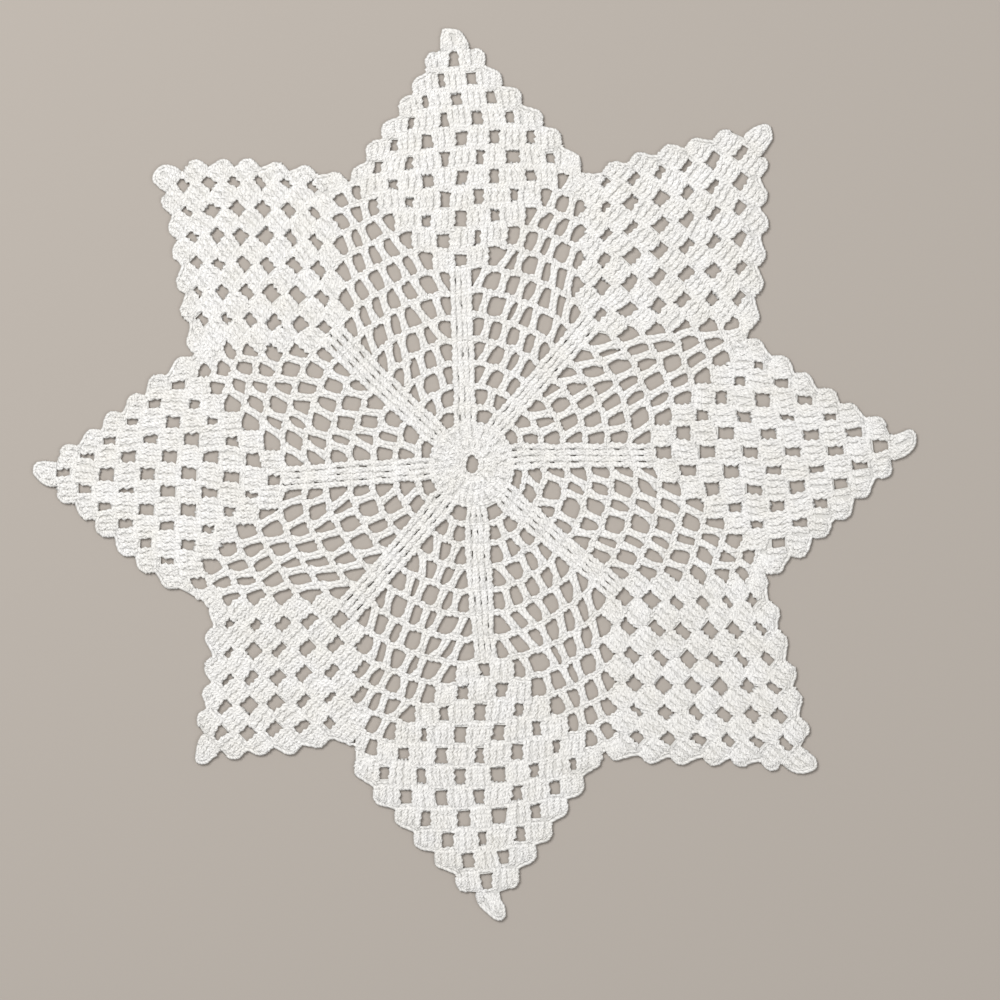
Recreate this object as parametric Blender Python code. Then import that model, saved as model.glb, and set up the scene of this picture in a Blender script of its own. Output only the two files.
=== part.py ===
"""
A crocheted lace doily: an eight-pointed star of filet lace, lying flat.

It is worked in rounds from a ring in the middle. Eight spokes of close stitches part eight
fans of open net, and each spoke widens into a diamond of blocks that ends in a point. The
points are a little uneven, as handwork is, and one of them is a size smaller than the rest.

The lace is one flat solid: its stepped outline, the ring in the middle and the largest
meshes of every fan are its real openings. Lengths are millimetres up to build_doily(),
which makes metres of them. Angles are degrees anticlockwise from +X.
"""
import math
import random

import bpy
from mathutils import Vector

MILLIMETRE = 0.001

# The whole lace
THICKNESS = 1.5
RING_HOLE_WIDTH = 4.2
RING_HOLE_HEIGHT = 5.9
MESHES_CUT_PER_FAN = 37

# A block is four close stitches in one round
BLOCK_WIDTH = 9.0
ROUND_HEIGHT = 7.4

# A mesh of the net lies between two upright bars and two rounds of chain. Wander and lean are
# shares of the mesh pitch, and so is how far a spoke's stitches crowd the mesh beside them.
BAR_WIDTH = 2.0
CHAIN_WIDTH = 2.3
BAR_WANDER = 0.13
BAR_LEAN = 0.05
SPOKE_ON_LEFT = 0.2
SPOKE_ON_RIGHT = 0.12

# Rounds of the fans, and of the points from the eighth round on: how far out each one lies
FAN_ROUNDS = (18.0, 24.1, 31.5, 39.8, 47.9, 56.7, 65.5, 74.2, 82.8, 91.1, 99.4, 106.9, 113.8)
POINT_ROUNDS = (71.3, 79.7, 87.5, 95.3, 102.9, 110.2, 118.1, 125.3, 133.2, 140.0, 148.0, 155.2)
FAN_FIRST_ROUND = 1
FAN_SIDE = 7
WIDEST_FAN_ROUND = 7
LAST_FAN_ROUND = 12
POINT_FIRST_ROUND = 8
# How steeply a bow pushes a point's outer side outwards
SIDE_SLOPE = math.radians(37)

# Where the lace lies. Each place is (across, out): across is to the right of the axis when
# looking outwards, and out is along the axis from the middle. "side" is how many meshes lie
# along one side of the point's diamond; "near", "left", "right" and "far" are the meshes at
# its corners; "middle" is how far out its centre lies. The two bows are how far its outer
# left and right sides bulge. The tip is a rounded tongue.
POINTS = (
    # axis, side, near, left, right, far, middle, bows, tip, tip radius
    (3.3, 6, (0.5, 69), (-29, 105.5), (35, 108), (2, 147.5), 108.5, (-1.3, 1.3), (-0.5, 157), 3.2),
    (49.2, 6, (0, 70), (-29, 105.5), (33.5, 107.5), (0, 149), 109.5, (0.6, 0.6), (2, 159), 3.8),
    (92.6, 6, (0.5, 72), (-28.5, 107), (33.5, 108.5), (0.5, 146.5), 110, (-1.1, -0.8), (-0.5, 153.5), 3.8),
    (136.9, 6, (0, 71), (-28.5, 104.5), (33.5, 107), (2, 144.5), 109.5, (-1.9, 1.2), (0, 151.5), 4.4),
    (182.2, 6, (-2.5, 70.5), (-30.5, 110.5), (32, 104.5), (2.5, 146), 109.5, (-0.3, -1.3), (4, 155), 3.4),
    (228.0, 5, (-1.5, 72.5), (-24.5, 103), (26, 101.5), (2.5, 133.5), 104.5, (0, -2), (1.5, 143.5), 3.0),
    (273.4, 6, (0, 73), (-29.5, 110), (37.5, 109.5), (3, 150.5), 112, (0, 0.5), (-0.5, 161.5), 3.2),
    (318.4, 6, (-0.5, 72.5), (-30, 107.5), (34.5, 109.5), (1, 152), 112.5, (0.8, -1.8), (1, 161.5), 4.2),
)
# The fan after each point, anticlockwise. "notch" is where the two points beside it part.
# "closed" names the meshes that the stitches pull shut, as (round, mesh from the left).
FANS = (
    # axis, near, left, right, far, middle, notch, closed
    (26.2, (-1, 17), (-19, 61), (18.5, 59.5), (0.5, 112.5), 63.5, (2, 110.5), ()),
    (70.9, (-1, 18), (-19.5, 64), (17, 62.5), (2, 112.5), 65.5, (3.5, 112.5), ((12, 1),)),
    (114.8, (-0.5, 18), (-18, 62.5), (18.5, 62.5), (1, 112.5), 65.5, (3, 110.5), ()),
    (159.5, (-0.5, 17.5), (-21, 61), (18.5, 62.5), (1, 109.5), 64.5, (2.5, 108.5), ((12, 1),)),
    (205.1, (-1, 18), (-21, 62.5), (17, 62.5), (2, 115), 67, (-6, 107.5), ((12, 0),)),
    (250.7, (-1, 18.5), (-20, 64), (18, 63.5), (3, 114.5), 67, (7, 107.5), ((11, 2), (12, 1))),
    (295.9, (-0.5, 19), (-20, 63.5), (19, 64), (2, 116), 66.5, (3.5, 115), ()),
    (340.8, (0, 17.5), (-18, 61), (19, 62.5), (0.5, 114), 65.5, (2, 113), ()),
)

# The rounded step that a block makes at the edge, from its foot to its shoulder, as
# (share of half a block's width outwards, share of half a round outwards)
STEP = ((0.93, -0.90), (1.00, -0.35), (0.97, 0.25), (0.80, 0.72), (0.42, 1.02))
STEP_WANDER = 0.10
NOTCH_MARGIN = 0.5
TIP_ROOT = 0.45
TIP_STEPS = 8
RING_STEPS = 12
# The rim of a mesh's opening, anticlockwise, as (share of the way from the left bar to the
# right one, share of half the opening's height): its top rises to the right
MESH_RIM = ((0.0, -1.0), (1.0, -1.0), (1.0, 0.8), (0.55, 1.0), (0.0, 0.4))
COTTON = (0.88, 0.87, 0.84, 1.0)


def polar(place):
    """(distance along the round, radius) of an (across, out) place."""
    across, out = place
    radius = math.hypot(across, out)
    return radius * math.atan2(across, out), radius


def round_radius(rounds, first_round, number):
    """Radius of a round whose number may be a fraction, carried on in a line past both ends."""
    index = min(max(int(math.floor(number)) - first_round, 0), len(rounds) - 2)
    share = number - first_round - index
    return rounds[index] + share * (rounds[index + 1] - rounds[index])


def blend(corners, u, v):
    """Bilinear blend of the values at the near, right, left and far corners."""
    near, right, left, far = corners
    return (near * (1 - u) + right * u) * (1 - v) + (left * (1 - u) + far * u) * v


class Patch:
    """A diamond of meshes, pulled into place by its corners, its middle and its outer sides."""

    def __init__(self, axis, side, first_round, rounds, near, left, right, far, middle, bows=(0, 0)):
        self.axis = math.radians(axis)
        self.side = side
        self.first_round = first_round
        self.rounds = rounds
        last = side - 1
        numbers = (first_round, first_round + last, first_round + last, first_round + 2 * last)
        places = [polar(place) for place in (near, right, left, far)]
        self.across = [along for along, _ in places]
        self.slack = [
            radius - round_radius(rounds, first_round, number)
            for (_, radius), number in zip(places, numbers)
        ]
        level = round_radius(rounds, first_round, first_round + last)
        self.dome = middle - level - sum(self.slack) / 4
        self.left_bow, self.right_bow = bows

    def place(self, number, across):
        """(x, y) at a round's number and so many mesh pitches to the right of the axis."""
        half = (number - self.first_round) / 2
        u = (half + across) / (self.side - 1)
        v = (half - across) / (self.side - 1)
        inner_u = min(max(u, 0.0), 1.0)
        inner_v = min(max(v, 0.0), 1.0)
        hump_u = 4 * inner_u * (1 - inner_u)
        hump_v = 4 * inner_v * (1 - inner_v)
        from_left = self.left_bow * hump_u * inner_v
        from_right = self.right_bow * hump_v * inner_u
        radius = round_radius(self.rounds, self.first_round, number) + blend(self.slack, u, v)
        radius += self.dome * (hump_u + hump_v - hump_u * hump_v)
        radius += (from_left + from_right) * math.sin(SIDE_SLOPE)
        along = blend(self.across, u, v) + (from_right - from_left) * math.cos(SIDE_SLOPE)
        angle = self.axis - along / radius
        return Vector((radius * math.cos(angle), radius * math.sin(angle)))


def from_axis(axis, place):
    """(x, y) of an (across, out) place."""
    across, out = place
    angle = math.radians(axis)
    outward = Vector((math.cos(angle), math.sin(angle)))
    rightward = Vector((outward.y, -outward.x))
    return outward * out + rightward * across


def wander(*key):
    """A fixed number from -1 to 1 that belongs to this key."""
    return random.Random("/".join(str(item) for item in key)).uniform(-1, 1)


def point_patch(point):
    axis, side, *places, bows, _, _ = point
    return Patch(axis, side, POINT_FIRST_ROUND, POINT_ROUNDS, *places, bows)


def fan_patch(fan):
    axis, *places, _, _ = fan
    return Patch(axis, FAN_SIDE, FAN_FIRST_ROUND, FAN_ROUNDS, *places)


def step_corners(patch, number, hand):
    """The edge of a round's end block, foot first, on the right (1) or left (-1) hand."""
    across = hand * (patch.side - (number - POINT_FIRST_ROUND + 1) / 2)
    middle = patch.place(number, across)
    outward = (patch.place(number + 0.5, across) - patch.place(number - 0.5, across)).normalized()
    sideways = Vector((outward.y, -outward.x)) * hand
    bulge = 1 + STEP_WANDER * wander("step", patch.axis, number, hand)
    return [
        middle + sideways * (wide * bulge * BLOCK_WIDTH / 2) + outward * (high * ROUND_HEIGHT / 2)
        for wide, high in STEP
    ]


def tip_corners(patch, tip, radius):
    """The tongue at the end of a point, from its right foot round to its left foot."""
    middle = from_axis(math.degrees(patch.axis), tip)
    root = patch.place(POINT_FIRST_ROUND + 2 * patch.side - 1 - TIP_ROOT, 0)
    ahead = (middle - root).normalized()
    rightward = Vector((ahead.y, -ahead.x))
    foot = rightward * (BLOCK_WIDTH / 2)
    turns = [math.pi * step / TIP_STEPS for step in range(TIP_STEPS + 1)]
    rim = [middle + (rightward * math.cos(turn) + ahead * math.sin(turn)) * radius for turn in turns]
    return [root + foot, *rim, root - foot]


def beside_notch(corners, notch, hand):
    """The corners that stay clear of the line from the middle through the notch."""
    along = notch.normalized()
    return [corner for corner in corners if hand * along.cross(corner) > NOTCH_MARGIN]


def lace_outline():
    """The edge of the whole star, anticlockwise from the notch before the first point."""
    notches = [from_axis(fan[0], fan[-2]) for fan in FANS]
    outline = []
    for index, point in enumerate(POINTS):
        patch = point_patch(point)
        widest = POINT_FIRST_ROUND + patch.side - 1
        steps = range(widest, widest + patch.side)
        right_side = [corner for number in steps for corner in step_corners(patch, number, 1)]
        left_side = [corner for number in steps for corner in step_corners(patch, number, -1)]
        outline.append(notches[index - 1])
        outline += beside_notch(right_side, notches[index - 1], 1)
        outline += tip_corners(patch, point[-2], point[-1])
        outline += reversed(beside_notch(left_side, notches[index], -1))
    return outline


def bar_place(patch, number, bar, count, rise):
    """Where a bar stands in a round, in mesh pitches from the axis; rise is -1 (foot) to 1."""
    across = bar - count / 2
    if 0 < bar < count:
        foot, head = (BAR_WANDER * wander("bar", patch.axis, number, bar, end) for end in (-1, 1))
        return across + BAR_LEAN * rise + foot + (head - foot) * (rise + 1) / 2
    if number > WIDEST_FAN_ROUND:
        return across
    return across + (SPOKE_ON_LEFT if bar == 0 else -SPOKE_ON_RIGHT)


def mesh_corners(patch, number, mesh, count):
    """The opening between two bars and two rounds of chain, anticlockwise from its foot."""
    middle = mesh + 0.5 - count / 2
    outward = (patch.place(number + 0.5, middle) - patch.place(number - 0.5, middle)).normalized()
    half_bar = Vector((outward.y, -outward.x)) * (BAR_WIDTH / 2)
    half_height = (1 - CHAIN_WIDTH / ROUND_HEIGHT) / 2
    corners = []
    for share, rise in MESH_RIM:
        level = number + rise * half_height
        left = patch.place(level, bar_place(patch, number, mesh, count, rise)) + half_bar
        right = patch.place(level, bar_place(patch, number, mesh + 1, count, rise)) - half_bar
        corners.append(left.lerp(right, share))
    return corners


def area(corners):
    """Area inside a closed ring of corners."""
    following = corners[1:] + corners[:1]
    return abs(sum(a.x * b.y - b.x * a.y for a, b in zip(corners, following))) / 2


def meshes_in_round(number):
    return number if number <= WIDEST_FAN_ROUND else 2 * WIDEST_FAN_ROUND - number


def fan_meshes(fan):
    """The largest open meshes of a fan of net."""
    patch = fan_patch(fan)
    closed = fan[-1]
    meshes = [
        mesh_corners(patch, number, mesh, meshes_in_round(number))
        for number in range(FAN_FIRST_ROUND, LAST_FAN_ROUND + 1)
        for mesh in range(meshes_in_round(number))
        if (number, mesh) not in closed
    ]
    return sorted(meshes, key=area, reverse=True)[:MESHES_CUT_PER_FAN]


def ring_hole():
    """The oval hole inside the ring that the first round is worked into."""
    turns = [2 * math.pi * step / RING_STEPS for step in range(RING_STEPS)]
    half_width, half_height = RING_HOLE_WIDTH / 2, RING_HOLE_HEIGHT / 2
    return [Vector((half_width * math.cos(turn), half_height * math.sin(turn))) for turn in turns]


def cotton_material():
    material = bpy.data.materials.new("white_cotton")
    material.use_nodes = True
    shader = material.node_tree.nodes["Principled BSDF"]
    shader.inputs["Base Color"].default_value = COTTON
    shader.inputs["Roughness"].default_value = 0.9
    shader.inputs["Metallic"].default_value = 0.0
    return material


def build_doily():
    """One flat solid, standing on z = 0 with the middle of its outline's box at the origin."""
    outline = lace_outline()
    lows = Vector((min(corner.x for corner in outline), min(corner.y for corner in outline)))
    highs = Vector((max(corner.x for corner in outline), max(corner.y for corner in outline)))
    box_middle = (lows + highs) / 2

    curve = bpy.data.curves.new("doily", "CURVE")
    curve.dimensions = "2D"
    curve.fill_mode = "BOTH"
    curve.extrude = THICKNESS / 2 * MILLIMETRE
    rings = [outline, ring_hole()]
    for fan in FANS:
        rings += fan_meshes(fan)
    for ring in rings:
        spline = curve.splines.new("POLY")
        spline.points.add(len(ring) - 1)
        for spot, corner in zip(spline.points, ring):
            x, y = (corner - box_middle) * MILLIMETRE
            spot.co = (x, y, 0.0, 1.0)
        spline.use_cyclic_u = True

    doily = bpy.data.objects.new("doily", curve)
    doily.location.z = THICKNESS / 2 * MILLIMETRE
    curve.materials.append(cotton_material())
    bpy.context.scene.collection.objects.link(doily)
    return doily


for leftover in list(bpy.data.objects):
    bpy.data.objects.remove(leftover, do_unlink=True)
build_doily()
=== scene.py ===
"""
Looks of the crocheted lace doily: every stitch of the star as strands of cotton thread.

The chart is the CAD model's own: rounds worked outwards from a ring, eight spokes of four
stitches that part eight fans of net, and eight points of blocks and meshes. Lengths are
millimetres, with the ring at (0, 0), until a mesh is made.
"""
import math
import random

import bpy
import numpy as np
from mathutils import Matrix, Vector
from mathutils.geometry import delaunay_2d_cdt, intersect_line_line_2d


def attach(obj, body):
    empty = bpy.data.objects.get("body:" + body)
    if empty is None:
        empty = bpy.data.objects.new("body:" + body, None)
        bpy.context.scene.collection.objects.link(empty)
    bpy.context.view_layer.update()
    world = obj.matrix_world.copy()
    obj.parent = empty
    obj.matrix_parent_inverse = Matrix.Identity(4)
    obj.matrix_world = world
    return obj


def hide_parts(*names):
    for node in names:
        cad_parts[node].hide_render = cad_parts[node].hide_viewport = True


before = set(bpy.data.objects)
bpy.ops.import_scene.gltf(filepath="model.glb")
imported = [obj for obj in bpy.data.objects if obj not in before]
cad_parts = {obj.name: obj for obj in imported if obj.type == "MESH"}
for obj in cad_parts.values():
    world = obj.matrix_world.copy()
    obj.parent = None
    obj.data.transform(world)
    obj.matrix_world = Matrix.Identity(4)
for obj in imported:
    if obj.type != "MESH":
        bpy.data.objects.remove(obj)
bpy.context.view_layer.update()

MILLIMETRE = 0.001

# ---- the chart, as in the CAD

RING_HOLE = (4.2, 5.9)  # width, height

# A block is four close stitches in one round
BLOCK_WIDTH = 9.0
BLOCK_STITCHES = 4
ROUND_HEIGHT = 7.4

# A mesh of the net lies between two upright bars and two rounds of chain. Wander, lean, spread
# and how far a spoke crowds the mesh beside it are shares of the mesh pitch.
BAR_WIDTH = 2.0
CHAIN_WIDTH = 2.3
BAR_WANDER = 0.19
BAR_LEAN = 0.01
BAR_SPREAD = -0.08  # the bars of a round draw together outwards
SIDE_SPREAD = 0.26  # but those beside a spoke lean as it does
FIRST_CROWD = -0.02  # and the mesh of the first round is wide
FIRST_SPREAD = 0.08
SPOKE_ON_LEFT = 0.2
SPOKE_ON_RIGHT = 0.12
CROWDED_PER_ROUND = 0.35  # until all of it is reached

# Rounds of the fans, and of the points from the eighth round on: how far out each one lies
FAN_ROUNDS = (18.0, 24.1, 31.5, 39.8, 47.9, 56.7, 65.5, 74.2, 82.8, 91.1, 99.4, 106.9, 113.8)
POINT_ROUNDS = (71.3, 79.7, 87.5, 95.3, 102.9, 110.2, 118.1, 125.3, 133.2, 140.0, 148.0, 155.2)
FAN_FIRST_ROUND = 1
FAN_SIDE = 7
WIDEST_FAN_ROUND = 7
LAST_FAN_ROUND = 12
POINT_FIRST_ROUND = 8
SIDE_SLOPE = math.radians(37)  # how steeply a bow pushes a side outwards

# Where the lace lies. A place is (across, out): to the right of the axis when looking outwards,
# and along it from the middle. "side" is how many meshes lie along a side of the diamond, and
# "open" scales them. "near", "left", "right" and "far" are its corners, "middle" its centre,
# and the bows how far its sides bulge: inner left, inner right, outer left and outer right.
POINTS = (
    # axis, side, open, near, left, right, far, middle, bows
    (3.3, 6, 0.98, (0, 69), (-30, 104.5), (34.5, 108.5), (1.5, 147.5), (1.5, 109), (1, 0, -2.5, -0.5)),
    (49.2, 6, 1, (-0.5, 70), (-30.5, 107.5), (33.5, 108), (-0.5, 148.5), (0.5, 110.5), (-0.5, -0.5, -2, -1)),
    (92.6, 6, 0.94, (-0.5, 72.5), (-29.5, 108), (33.5, 108.5), (0, 146.5), (2, 111), (0.5, -1, -1.5, -1.5)),
    (136.9, 6, 0.96, (0, 71.5), (-28.5, 106.5), (34, 110.5), (2, 145), (2, 110), (-0.5, 0, -1.5, 0.5)),
    (182.2, 6, 0.94, (-2.5, 70.5), (-31, 111), (33, 104.5), (2.5, 147.5), (1, 110), (0, -0.5, -1.5, -1.5)),
    (228, 5, 1.02, (-1.5, 72.5), (-24.5, 103), (27, 100.5), (2.5, 133), (1.5, 104), (-0.5, -0.5, 0, -1.5)),
    (273.4, 6, 0.97, (0, 73), (-30, 109.5), (38, 109), (3, 150.5), (3.5, 112.5), (-0.5, 0, -1.5, -0.5)),
    (318.4, 6, 0.98, (-1, 72), (-31, 107), (34.5, 109.5), (0.5, 151.5), (1, 112), (-1.5, -0.5, 0.5, -1.5)),
)
# The edge of each point, laid in the same way
EDGES = (
    # near, left, right, far, middle, bows
    ((0.5, 69), (-29, 105.5), (35, 108), (2, 147.5), (2, 108.5), (0, 0, -1.3, 1.3)),
    ((0, 70), (-29, 105.5), (33.5, 107.5), (0, 149), (1, 109.5), (0, 0, 0.6, 0.6)),
    ((0.5, 72), (-28.5, 107), (33.5, 108.5), (0.5, 146.5), (1.5, 110), (0, 0, -1.1, -0.8)),
    ((0, 71), (-28.5, 104.5), (33.5, 107), (2, 144.5), (1.5, 109.5), (0, 0, -1.9, 1.2)),
    ((-2.5, 70.5), (-30.5, 110.5), (32, 104.5), (2.5, 146), (0.5, 109.5), (0, 0, -0.3, -1.3)),
    ((-1.5, 72.5), (-24.5, 103), (26, 101.5), (2.5, 133.5), (0.5, 104.5), (0, 0, 0, -2)),
    ((0, 73), (-29.5, 110), (37.5, 109.5), (3, 150.5), (2.5, 112), (0, 0, 0, 0.5)),
    ((-0.5, 72.5), (-30, 107.5), (34.5, 109.5), (1, 152), (1, 112.5), (0, 0, 0.8, -1.8)),
)
# The tongue of thread at the tip of each point, from its left foot round to its right foot
TONGUES = (
    ((-1.8, 152.8), (-4, 157.8), (-2.7, 160.2), (2.2, 160.4), (5.2, 157.3), (7.2, 152.6)),
    ((-3.2, 155), (-2, 160), (0, 162.7), (2.9, 162), (5.8, 159.5), (6, 153)),
    ((-4.7, 151.2), (-4.3, 156.4), (-2.9, 157.3), (2.9, 156.6), (4.3, 154.1), (5.8, 151)),
    ((-4, 149.4), (-4.7, 153.4), (-2.2, 155.5), (2.9, 155.2), (5, 152.3), (5.8, 149.6)),
    ((-2.4, 151.4), (-1.1, 154.8), (1.4, 157.2), (4.5, 158.4), (7.2, 156.8), (6.8, 151.4)),
    ((-1.4, 138.6), (-1.8, 142.4), (-0.7, 144.9), (2.2, 146.5), (4, 144.8), (7.2, 138.6)),
    ((-0.6, 156), (-2.7, 159.5), (-2.9, 163.1), (-1.1, 164.7), (1.6, 164.2), (6.8, 158.6), (7.8, 155.8)),
    ((-2.9, 157.8), (-3.3, 162.9), (-1.4, 165.3), (1.4, 165.2), (6.4, 160.6), (6.5, 156)),
)
# The fan after each point, anticlockwise
FANS = (
    # axis, near, left, right, far, middle, bows
    (26.2, (-2.5, 17), (-20.5, 60.5), (18.5, 59), (0, 113), (-1, 64), (0, -0.5, 0, -1)),
    (70.9, (-1.5, 17.5), (-21, 64), (17, 62.5), (0, 114), (-1.5, 66.5), (0.5, 0, -2, 0)),
    (114.8, (-1, 18), (-19, 62.5), (19, 63.5), (0.5, 112.5), (0.5, 66.5), (1, 0, 0, -0.5)),
    (159.5, (-1, 16.5), (-21.5, 60), (18.5, 63), (2, 107), (-1.5, 65), (0, 0, 0, -0.5)),
    (205.1, (-0.5, 17.5), (-21.5, 62), (17.5, 63), (-1, 112.5), (-2.5, 66.5), (1, 0, -2, 2)),
    (250.7, (-1.5, 18), (-21.5, 63.5), (18, 64), (4.5, 114.5), (-1.5, 67), (-1, 0, -1, -1)),
    (295.9, (0.5, 19), (-20.5, 62.5), (20, 64), (2, 114.5), (0, 66.5), (0, -1, 0, -1)),
    (340.8, (-0.5, 16.5), (-18.5, 60), (19, 62.5), (2.5, 111), (1, 65), (1, 1, 1, -1)),
)
# Where the two points beside each fan part, laid as the fan is
NOTCHES = (
    (2, 110.5), (3.5, 112.5), (3, 110.5), (2.5, 108.5), (-6, 107.5), (7, 107.5), (3.5, 115), (2, 113)
)
# The meshes of each fan that the stitches pull shut, as (round, mesh from the left)
CLOSED = (((12, 1),), ((12, 1),), (), ((12, 1),), ((12, 0),), ((11, 2), (12, 1)), (), ())
# Width and height of a point's meshes at its near, side and far corners and in its middle
MESH_WIDTHS = (4.5, 3.0, 3.5, 4.2)
MESH_HEIGHTS = (6.5, 3.6, 4.5, 5.3)
TALLEST_MESH = 0.75  # share of a round
SIZE_WANDER = 0.15  # share of a mesh's size

# The step that a block makes at the edge, from foot to shoulder, in shares of half a block's
# width and of half a round
STEP = ((0.88, -0.92), (1.01, -0.45), (1.04, 0.08), (0.93, 0.56), (0.68, 0.92), (0.34, 1.08))
STEP_WANDER = 0.10  # share of a step's width
NOTCH_MARGIN = 0.5  # a point's edge stays this far from the line through the notch
EDGE_LINING = 1.15  # from the thread round the edge to the one in its corners
TONGUE_LINING = 1.25  # from the thread round a tongue to the one inside it
TONGUE_ROOT = 2.5  # how far a tongue reaches into the round below it
# The ring round a mesh of the net, as (share of its width, share of half its height)
MESH_RIM = ((0.08, -1), (0.92, -1), (1, -0.8), (1, 0.9), (0.9, 1), (0.35, 1), (0, 0.6), (0, -0.8))
MESH_CORNERS = (0, 1, 6, 3)  # of that ring: foot left, foot right, head left, head right

# ---- sizes of the thread work

# The rounds of close stitches inside the first round of net: from, to, stitches
CENTRE_ROUNDS = ((4.2, 9.0, 20), (9.7, 14.3, 34))
CENTRE_WANDER = 0.3  # share of a stitch
CENTRE_CHAIN = 0.3  # from the end of each to its chain
CENTRE_STEPS = 24  # places along a chain there
RING_CHAIN = 1.35  # from the ring's hole to its chain
RING_TALLER = 0.25

MIDDLE_HEIGHT = 0.82  # of the fabric, above the table
TABLE_GAP = 0.02  # thread that would sink into the table lies flat on it
GROUND_THICKNESS = 0.5
GROUND_INSET = 0.75  # from the edge to the ground's
GROUND_SHY = 0.5  # and from a mesh to its hole in the ground
GROUND_HOLE_STEPS = 16  # places round the ring's hole
SLIT_WIDTH = 0.12  # share of a stitch
# A gap in the ground between stitches of a spoke: (share of SLIT_WIDTH, share of the round)
SLIT = ((-1.5, 0.26), (0.3, 0.26), (1.5, 0.6), (-0.3, 0.6))

LEG_RADIUS = 0.79
BAR_LEG_RADIUS = 0.82
WRAP_RADIUS = 0.50
LINK_RADIUS = 0.60
CORE_RADIUS = 0.68
BRACE_RADIUS = 0.52
HEAD_RADIUS = 0.60
TUBE_SIDES = 6
FLATNESS = 0.85  # height of a strand against its width
END_THICKNESS = 0.6  # a strand's ends, against its radius
LINK_PITCH = 2.3
LINK_WIDTH = 1.12
BLOCK_LINK_WIDTH = 1.2
MESH_TOP_REACH = 0.6  # of the chain over a point's mesh into the blocks beside it
RIM_RADIUS = 0.70  # the smooth thread round the points and tongues
RIM_INSET = 0.72
POST_HALF_WIDTH = 1.1
WIDEST_IN_CENTRE = 1.15  # half the width of a stitch in the rounds inside the net
SPOKE_WAIST = 0.64  # a stitch's width at mid height, as a share
CLEARANCE = 0.85  # no middle of a link or stitch is nearer to the edge than this
EDGE_WANDER = 0.95  # of the side of a mesh, at its foot and head
SPOKE_OVERSHOOT = 0.4  # of a spoke's stitches past their round's line
PLAIN_OVERSHOOT = 0.1  # and of a block's, where net lies there
ROUNDING = 0.01  # in a place's share of a point's diamond
LONGEST_REACH = 3.0  # of a stitch to the net's chain below it
BLOCK_PINCH = 0.91  # a block's foot and head are this share of its width
BLOCK_BULGE = 0.75  # its outer stitches bow outwards at mid height
BLOCK_ARCH = 0.35  # and its inner stitches are longer by this at both ends
EDGE_BLOCK = 0.97  # how far an end block reaches, as in STEP
SUNK = 0.12  # how much lower the chain lies where stitches stand on both its sides
ZIGZAG = 0.6  # how far the net's rounds are pulled outwards by the next bars, and back
LINE_WANDER = 0.6
BAR_HALF_WIDTH = 1.35
NOTCH_STITCHES = 7  # between two points, above the last round of net
NOTCH_SPREAD = 1.7  # mesh pitches
NOTCH_STEP = 0.05  # share of a round by which they get shorter, until they fit
NOTCH_SHORTEST = 0.2
NOTCH_CLEARANCE = 0.95
TIP_MARGIN = 0.8  # places of a tongue's rim, at both ends, with no stitch
TIP_PULL = 0.12  # share that a tongue's stitches lack to its rim

# How uneven strands are: a spread (normal or even, both ways), or the lowest and highest share
JITTER = 0.11  # every point of a strand, and these shares of it on each axis
JITTER_SHARES = (1, 1, 0.5)
POST_JITTER = 0.15
POST_SHIFT = 0.13
POST_LIFT = 0.08
POST_BOW = 0.14
POST_BOWS = (0.1, 1.7)
POST_WIDTHS = (0.92, 1.06)
WAIST_SPREAD = 0.14
WRAP_SHIFT = 0.08  # share of the stitch
BAR_BOW = 0.25
BAR_LIFT = 0.06
BAR_WIDTHS = (0.9, 1.15)
HEAD_SHIFT = 0.08
LINK_SHIFT = 0.07
LINK_LIFT = 0.05
LINK_WIDTHS = (0.85, 1.15)

# A stitch's two legs and the turn of thread that crosses them. Across is in half stitch
# widths, along is from foot to head, and height is in millimetres from mid fabric.
LEGS = (
    # along, left across, left height, right across, right height, sway
    (0.00, -0.46, -0.20, 0.46, -0.20, 0.0),
    (0.10, -0.48, -0.01, 0.48, 0.01, 0.5),
    (0.24, -0.42, 0.04, 0.39, 0.10, -1.0),
    (0.38, -0.38, 0.07, 0.35, 0.14, 1.0),
    (0.52, -0.37, 0.08, 0.34, 0.16, -1.0),
    (0.66, -0.39, 0.08, 0.35, 0.16, 1.0),
    (0.80, -0.43, 0.06, 0.41, 0.11, -1.0),
    (0.92, -0.48, 0.00, 0.48, 0.02, 0.5),
    (1.00, -0.46, -0.20, 0.46, -0.20, 0.0),
)
SWAYED = 0.26  # both legs sway across by this, so that the gaps between stitches zigzag
WRAP = (
    # along, across, height
    (0.38, 0.80, 0.05),
    (0.47, 0.60, 0.40),
    (0.58, 0.24, 0.54),
    (0.71, -0.24, 0.52),
    (0.82, -0.62, 0.34),
    (0.90, -0.84, 0.00),
)
# The two legs of a bar of the net, which flare into the chain at both ends
BAR_LEGS = (
    # along, left across, left height, right across, right height
    (0.00, -0.90, -0.25, 0.95, -0.25),
    (0.10, -0.64, -0.10, 0.66, -0.05),
    (0.28, -0.50, 0.02, 0.46, 0.10),
    (0.50, -0.40, 0.08, 0.34, 0.16),
    (0.72, -0.50, 0.06, 0.44, 0.14),
    (0.90, -0.58, 0.00, 0.80, 0.02),
    (1.00, -0.72, -0.20, 1.15, -0.20),
)
# The loop over the head of a stitch in a block, along the round from one stitch to the next
HEAD = (
    # along, across, height
    (-0.15, -0.25, 0.00),
    (0.20, 0.10, 0.22),
    (0.75, 0.22, 0.20),
    (1.15, -0.05, -0.05),
)
# The loop at the head of a bar of the net, which fills the corner to its right
BRACE = (
    # along, across (mm), height
    (0.56, 0.35, 0.05),
    (0.70, 0.80, 0.20),
    (0.82, 1.30, 0.15),
    (0.93, 2.05, -0.05),
)
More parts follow.
